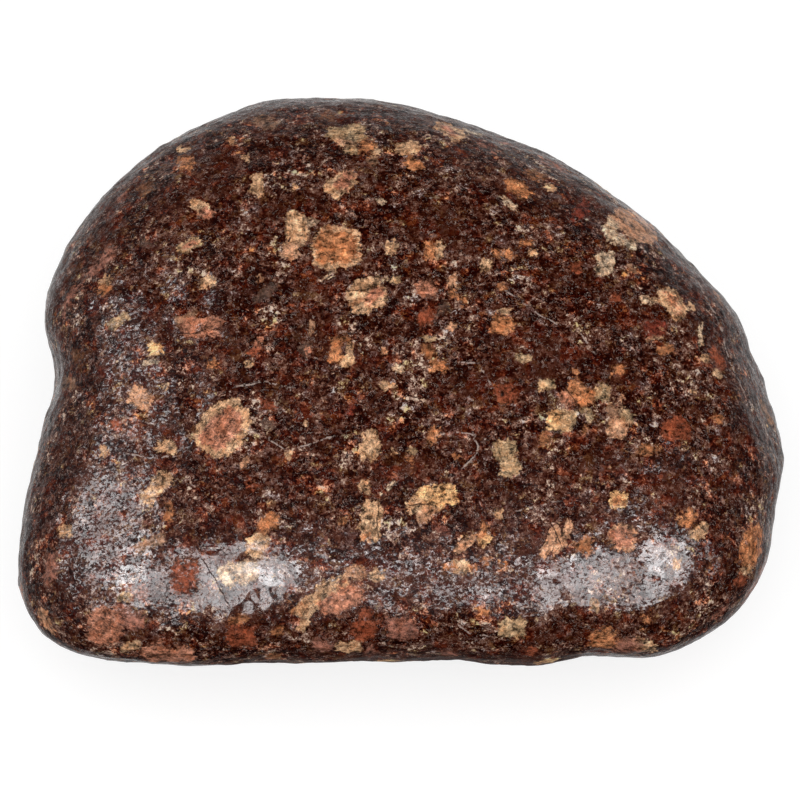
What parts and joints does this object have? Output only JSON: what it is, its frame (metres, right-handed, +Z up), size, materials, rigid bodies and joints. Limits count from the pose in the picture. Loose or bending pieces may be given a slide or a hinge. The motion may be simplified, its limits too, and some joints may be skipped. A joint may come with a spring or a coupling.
{
  "type": "porphyry pebble",
  "caption": "Palm-size river-worn pebble of dark red-brown porphyry with cream and salmon feldspar crystals, resting on a small worn flat.",
  "frame": {"origin": "centre of the stone's bounding box in plan, on the surface that it rests on", "axes": "+Z up; +X along the stone's long side, to the right as seen from the front; -Y is the front, the long nearly straight edge"},
  "size_m": [0.0762, 0.0642, 0.0336],
  "materials": {
    "porphyry": "water-worn to a polish, wet-looking dark red-brown groundmass with cream, salmon and orange feldspar crystals"
  },
  "bodies": {
    "root": {"porphyry_pebble": "porphyry"}
  },
  "joints": []
}
